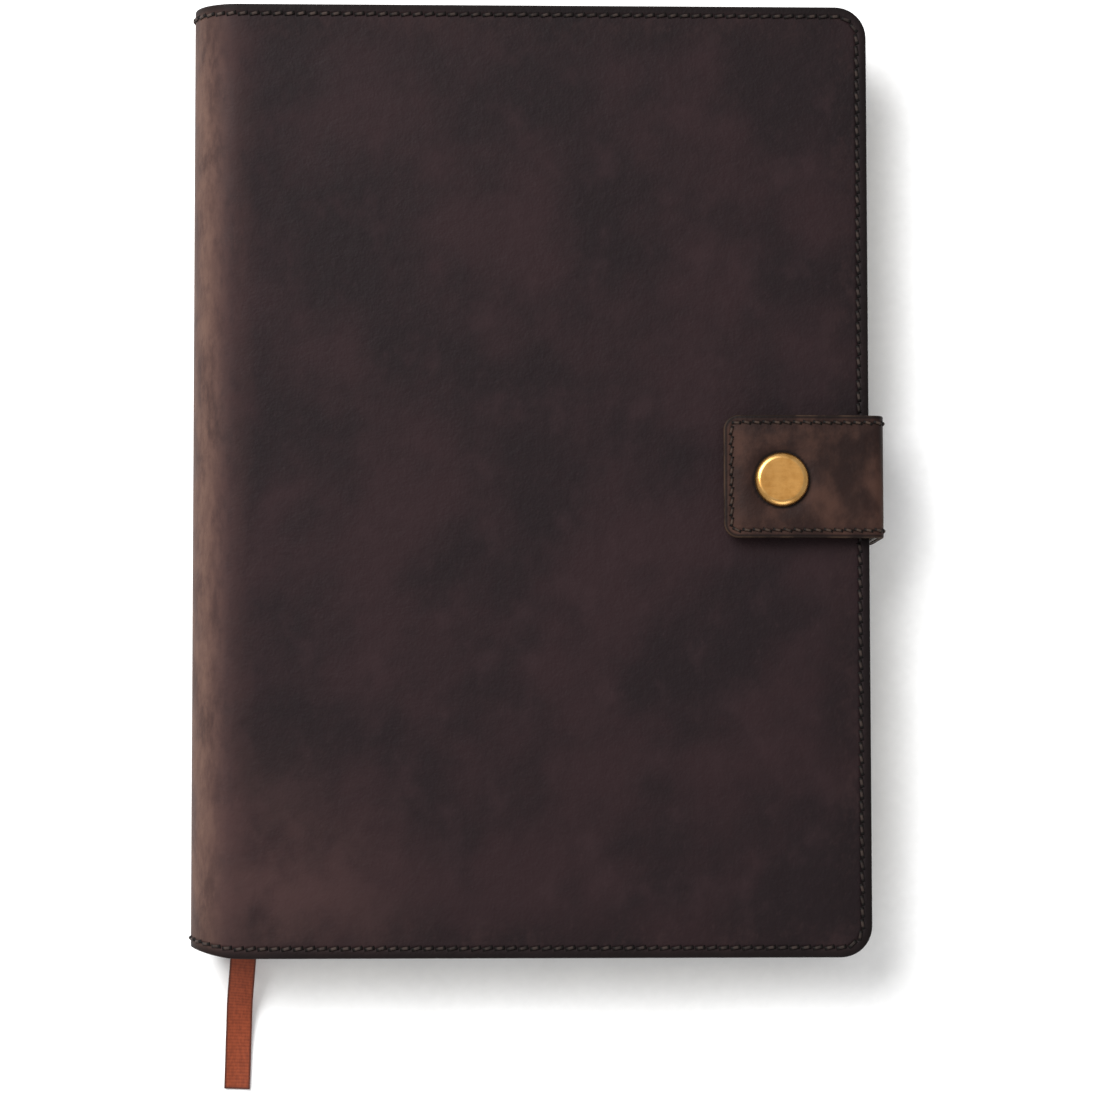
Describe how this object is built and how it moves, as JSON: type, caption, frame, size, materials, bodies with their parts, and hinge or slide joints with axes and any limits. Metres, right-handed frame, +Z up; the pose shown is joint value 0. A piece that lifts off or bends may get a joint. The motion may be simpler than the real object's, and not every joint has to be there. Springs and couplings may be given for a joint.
{
  "type": "leather notebook cover",
  "caption": "Closed A5 leather notebook cover with a rounded folding spine, snap strap, slip pocket with card slots, and a notebook with ribbon bookmark in its back sleeve.",
  "frame": {"origin": "centre of the back cover's underside, on the surface that the closed cover lies on", "axes": "+X from the spine to the fore-edge, +Y to the head, +Z up out of the front cover"},
  "size_m": [0.1661, 0.2611, 0.0282],
  "materials": {
    "outer_leather": "dark brown pull-up leather with a worn spine and burnished edges",
    "strap_leather": "dark brown pull-up leather with burnished edges",
    "pocket_leather": "thin dark brown leather, semi-matt",
    "lining_leather": "thin brown split leather, matt",
    "thread": "waxed greyish brown thread",
    "notebook_card": "dark grey coated card",
    "page_paper": "uncoated ivory paper",
    "endpaper": "uncoated ivory paper, heavier than the pages",
    "mull_cloth": "open-weave cotton, starched",
    "ribbon": "red-brown ribbed ribbon with woven edges",
    "snap_brass": "brushed antique brass with a polished rim",
    "spring_wire": "drawn spring wire"
  },
  "bodies": {
    "back_cover": {"back_leather": "outer_leather", "back_lining": "lining_leather", "back_stitching": "thread", "notebook_sleeve": "pocket_leather", "strap_tongue": "strap_leather", "notebook_card_cover": "notebook_card", "spine_mull": "mull_cloth", "front_endpaper": "endpaper", "back_endpaper": "endpaper", "front_signatures": "page_paper", "back_signatures": "page_paper", "ribbon_bookmark": "ribbon"},
    "spine": {"spine_leather": "outer_leather", "spine_lining": "lining_leather", "spine_stitching": "thread"},
    "front_cover": {"front_leather": "outer_leather", "front_lining": "lining_leather", "front_stitching": "thread", "slip_pocket": "pocket_leather", "card_slot_lower": "pocket_leather", "card_slot_middle": "pocket_leather", "card_slot_upper": "pocket_leather", "pocket_stitching": "thread", "snap_stud": "snap_brass", "stud_rivet": "snap_brass"},
    "strap_side": {"strap_side_leather": "strap_leather", "strap_side_lining": "lining_leather", "strap_side_stitching": "thread"},
    "strap_tab": {"tab_leather": "strap_leather", "tab_lining": "lining_leather", "tab_stitching": "thread", "snap_cap": "snap_brass", "snap_socket": "snap_brass", "socket_spring": "spring_wire"}
  },
  "joints": [
    {"name": "spine_fold", "type": "hinge", "parent": "back_cover", "child": "spine", "pos_m": [-0.07802, 0, 0.00323], "axis": [0, -1, 0], "range_deg": [0, 90]},
    {"name": "front_fold", "type": "hinge", "parent": "spine", "child": "front_cover", "pos_m": [-0.07802, 0, 0.01878], "axis": [0, -1, 0], "range_deg": [0, 89]},
    {"name": "strap_side_fold", "type": "hinge", "parent": "back_cover", "child": "strap_side", "pos_m": [0.08372, 0, 0.00153], "axis": [0, 1, 0], "range_deg": [0, 90]},
    {"name": "tab_fold", "type": "hinge", "parent": "strap_side", "child": "strap_tab", "pos_m": [0.08372, 0, 0.02607], "axis": [0, 1, 0], "range_deg": [0, 88]}
  ]
}
